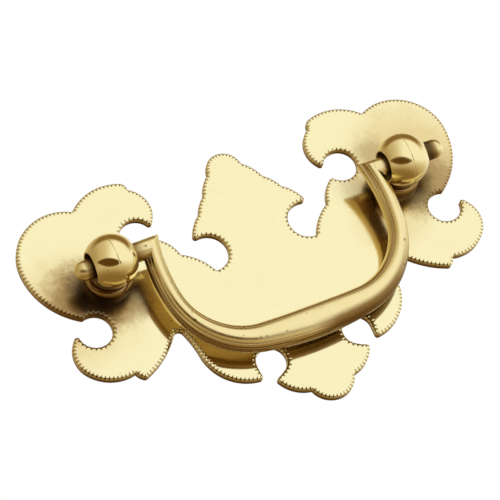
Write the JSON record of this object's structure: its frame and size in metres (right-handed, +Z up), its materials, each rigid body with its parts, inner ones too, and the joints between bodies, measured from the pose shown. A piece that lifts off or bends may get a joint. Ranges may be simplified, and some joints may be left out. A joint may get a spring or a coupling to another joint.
{
  "type": "bail pull",
  "caption": "Polished brass drawer pull: a swelling bail handle that swings in bored ball posts, over a flat scroll-edged backplate that is screwed on from behind.",
  "frame": {"origin": "on the back of the plate, midway between the two posts", "axes": "+X along the drawer from the left post to the right one, +Z up, and the pull faces -Y"},
  "size_m": [0.1128, 0.0268, 0.0697],
  "materials": {
    "plate_brass": "mirror polished",
    "post_brass": "turned and polished",
    "bail_brass": "cast, satin polished"
  },
  "bodies": {
    "plate": {"backplate": "plate_brass", "left_post": "post_brass", "right_post": "post_brass"},
    "bail": {"bail": "bail_brass"}
  },
  "joints": [
    {"name": "bail_swing", "type": "hinge", "parent": "plate", "child": "bail", "pos_m": [0, -0.0103, 0], "axis": [1, 0, 0], "range_deg": [-180, 2.5]}
  ]
}
